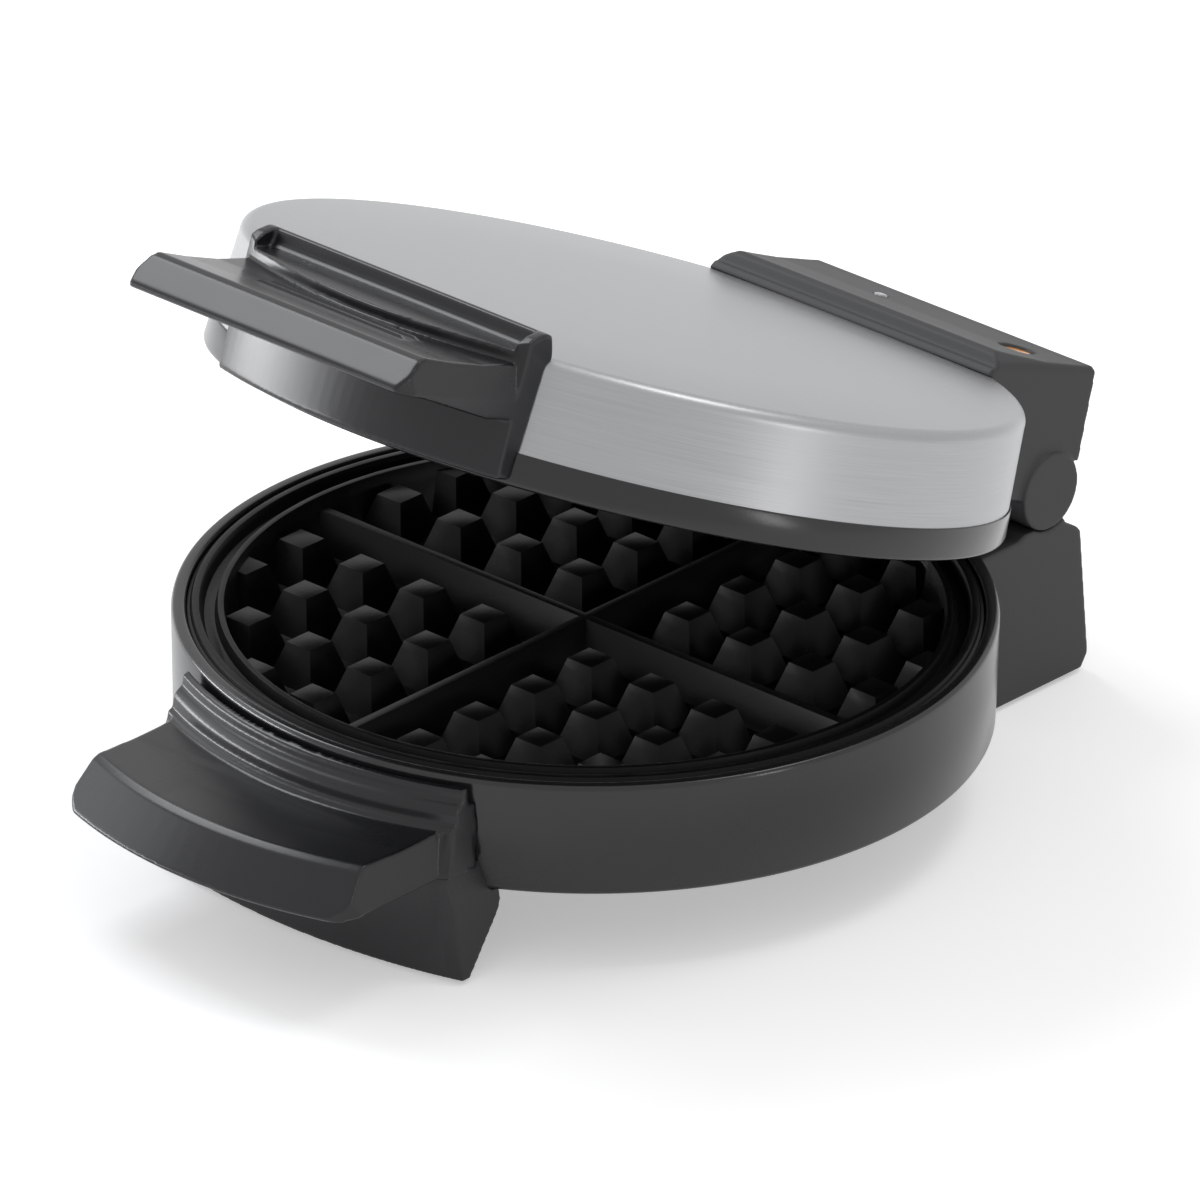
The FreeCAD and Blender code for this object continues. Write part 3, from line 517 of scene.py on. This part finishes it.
# Lenses: small translucent mouldings pushed into the top of the hinge block, with domed tops.
# The amber one shows that the plates are hot, the clear one that the machine is on.
def lens_finish(name, colour, glow):
    """Coloured plastic with fine moulded ribs and a faint glow."""
    m = bpy.data.materials.new(name)
    m.use_nodes = True
    n, l = m.node_tree.nodes, m.node_tree.links
    shader = n["Principled BSDF"]
    place = n.new("ShaderNodeTexCoord")
    ribs = n.new("ShaderNodeTexWave")
    ribs.inputs["Scale"].default_value = 260.0
    ribs.inputs["Distortion"].default_value = 0.4
    l.new(place.outputs["Object"], ribs.inputs["Vector"])
    ramp = n.new("ShaderNodeValToRGB")
    ramp.color_ramp.elements[0].color = (*[c * 0.7 for c in colour], 1)
    ramp.color_ramp.elements[1].color = (*colour, 1)
    l.new(ribs.outputs["Fac"], ramp.inputs["Fac"])
    l.new(ramp.outputs["Color"], shader.inputs["Base Color"])
    l.new(ramp.outputs["Color"], shader.inputs["Emission Color"])
    shader.inputs["Emission Strength"].default_value = glow
    shader.inputs["Roughness"].default_value = 0.18
    return m


ready = eased(lifted("ready_light_lens", "ready_lens_moulding"), 0.5, 3)
amber = lens_finish("amber_lens_plastic", (0.72, 0.27, 0.035), 0.12)
dress(ready, amber, "lid", "amber_lens", "ready_light_lens")
power = eased(lifted("power_light_lens", "power_lens_moulding"), 0.5, 3)
clear = lens_finish("clear_lens_plastic", (0.42, 0.44, 0.45), 0.0)
dress(power, clear, "lid", "clear_lens", "power_light_lens")

# Inner pieces: heating tubes and clips, aluminium sheets, white insulators and plated screws.
# They are the solids themselves, each with its own metal or ceramic finish.
def metal(name, dark, light, polish, grain_scale):
    """A bare metal finish: two close tones mixed by the cloudiness, grain as bump."""
    m = bpy.data.materials.new(name)
    m.use_nodes = True
    n, l = m.node_tree.nodes, m.node_tree.links
    shader = n["Principled BSDF"]
    shader.inputs["Metallic"].default_value = 1.0
    grain = n.new("ShaderNodeGroup")
    grain.node_tree = GRAIN
    grain.inputs["Grain Scale"].default_value = grain_scale
    grain.inputs["Base Polish"].default_value = polish
    ramp = n.new("ShaderNodeValToRGB")
    ramp.color_ramp.elements[0].position = 0.35
    ramp.color_ramp.elements[1].position = 0.65
    ramp.color_ramp.elements[0].color = (*dark, 1)
    ramp.color_ramp.elements[1].color = (*light, 1)
    bump = n.new("ShaderNodeBump")
    bump.inputs["Strength"].default_value = 0.05
    bump.inputs["Distance"].default_value = 0.0003
    l.new(grain.outputs["Tone"], ramp.inputs["Fac"])
    l.new(ramp.outputs["Color"], shader.inputs["Base Color"])
    l.new(grain.outputs["Polish"], shader.inputs["Roughness"])
    l.new(grain.outputs["Height"], bump.inputs["Height"])
    l.new(bump.outputs["Normal"], shader.inputs["Normal"])
    return m


TUBE = metal("heat_tinted_tube", (0.20, 0.18, 0.16), (0.34, 0.32, 0.30), 0.42, 500.0)
SHEET = metal("plain_aluminium", (0.62, 0.62, 0.63), (0.74, 0.74, 0.75), 0.35, 300.0)
PLATED = metal("zinc_plate", (0.48, 0.48, 0.47), (0.62, 0.62, 0.60), 0.3, 800.0)
CERAMIC = moulding("white_insulator", (0.70, 0.69, 0.65), (0.78, 0.77, 0.73), 0.3, 600.0, 0.03)
LAMP = moulding("lamp_glass", (0.55, 0.42, 0.28), (0.66, 0.52, 0.36), 0.1, 400.0, 0.02)
inner = {
    TUBE: ("lower_heating_element", "upper_heating_element", "lower_element_clips", "upper_element_clips"),
    SHEET: ("lower_heat_reflector", "upper_heat_reflector", "thermostat"),
    PLATED: ("hinge_pins", "bottom_screws", "base_handle_screws", "tower_screws", "lid_handle_screws",
             "hinge_block_screws"),
    CERAMIC: ("thermal_fuse", "terminal_block"), LAMP: ("indicator_lamps",)}
for material, nodes in inner.items():
    for node in nodes:
        piece = frame["nodes"][node]
        piece.data.materials.clear()
        piece.data.materials.append(material)

# Stage: a plain pale floor, soft studio light and the photograph's camera.
# The lift whitens the floor for the camera and in reflections, but casts no soft light.
FLOOR_TONE, FLOOR_LIFT = 0.9, 0.38
WORLD_LIGHT, WORLD_SEEN = 0.52, 0.9


def either(tree, one, other):
    node = tree.nodes.new("ShaderNodeMath")
    node.operation = "MAXIMUM"
    tree.links.new(one, node.inputs[0])
    tree.links.new(other, node.inputs[1])
    return node.outputs["Value"]


only(tub)
bpy.ops.mesh.primitive_plane_add(size=30.0, location=(0, 0, 0))
floor = bpy.context.object
floor.name = "floor"
paper = bpy.data.materials.new("floor_paper")
paper.use_nodes = True
n, l = paper.node_tree.nodes, paper.node_tree.links
n["Principled BSDF"].inputs["Base Color"].default_value = (FLOOR_TONE, FLOOR_TONE, FLOOR_TONE, 1)
n["Principled BSDF"].inputs["Roughness"].default_value = 0.9
n["Principled BSDF"].inputs["Specular IOR Level"].default_value = 0.0
lift = n.new("ShaderNodeEmission")
path = n.new("ShaderNodeLightPath")
seen = either(paper.node_tree, path.outputs["Is Camera Ray"], path.outputs["Is Glossy Ray"])
dim = n.new("ShaderNodeMath")
dim.operation = "MULTIPLY"
dim.inputs[1].default_value = FLOOR_LIFT
l.new(seen, dim.inputs[0])
l.new(dim.outputs["Value"], lift.inputs["Strength"])
both = n.new("ShaderNodeAddShader")
l.new(n["Principled BSDF"].outputs["BSDF"], both.inputs[0])
l.new(lift.outputs["Emission"], both.inputs[1])
l.new(both.outputs["Shader"], n["Material Output"].inputs["Surface"])
floor.data.materials.append(paper)

world = bpy.data.worlds.new("studio")
bpy.context.scene.world = world
world.use_nodes = True
n, l = world.node_tree.nodes, world.node_tree.links
n["Background"].inputs["Color"].default_value = (1, 1, 1, 1)
path = n.new("ShaderNodeLightPath")
seen = either(world.node_tree, path.outputs["Is Camera Ray"], path.outputs["Is Transmission Ray"])
shown = either(world.node_tree, seen, path.outputs["Is Glossy Ray"])
level = n.new("ShaderNodeMapRange")
level.inputs["To Min"].default_value = WORLD_LIGHT
level.inputs["To Max"].default_value = WORLD_SEEN
l.new(shown, level.inputs["Value"])
l.new(level.outputs["Result"], n["Background"].inputs["Strength"])


def softbox(name, place, aim, size, power, tint=(1, 1, 1)):
    """A soft rectangular lamp at a place, turned to face the aim."""
    bpy.ops.object.light_add(type="AREA", location=place)
    lamp = bpy.context.object
    lamp.name = name
    lamp.data.shape = "RECTANGLE"
    lamp.data.size, lamp.data.size_y = size
    lamp.data.energy = power
    lamp.data.color = tint
    lamp.rotation_euler = (Vector(aim) - Vector(place)).to_track_quat("-Z", "Y").to_euler()
    return lamp


COOL, PALE = (0.94, 0.97, 1.0), (0.96, 0.98, 1.0)
softbox("key", (-0.95, 0.08, 1.3), (0, 0, 0.06), (0.75, 0.65), 8.5, COOL)
softbox("top_strip", (0.38, 0.5, 1.5), (0, 0, 0.06), (0.6, 0.45), 3.4)
softbox("left_window", (-1.35, -0.8, 0.1), (0, 0, 0.1), (1.15, 0.2), 12.5, PALE)
softbox("left_sky", (-1.4, -0.6, 0.75), (0, 0, 0.1), (1.1, 0.6), 3.0, COOL)
softbox("right_strip", (1.5, 0.02, 0.3), (0, 0, 0.08), (0.16, 0.4), 1.3)

bpy.ops.object.camera_add()
camera = bpy.context.object
camera.name = "photo_camera"
AZIMUTH, TILT, ROLL, LENS, AWAY = 42.0, 26.0, 0.7, 528.0, 4.667
TARGET = Vector((0.0031, 0.0068, 0.0542))
turn = Euler((math.radians(90 - TILT), 0, math.radians(AZIMUTH))).to_matrix()
camera.location = TARGET + turn @ Vector((0, 0, AWAY))
camera.rotation_euler = (turn @ Matrix.Rotation(math.radians(ROLL), 3, "Z")).to_euler()
camera.data.sensor_width = 36.0
camera.data.lens = LENS
camera.data.clip_end = 60.0
bpy.context.scene.camera = camera
bpy.context.scene.view_settings.view_transform = "Standard"
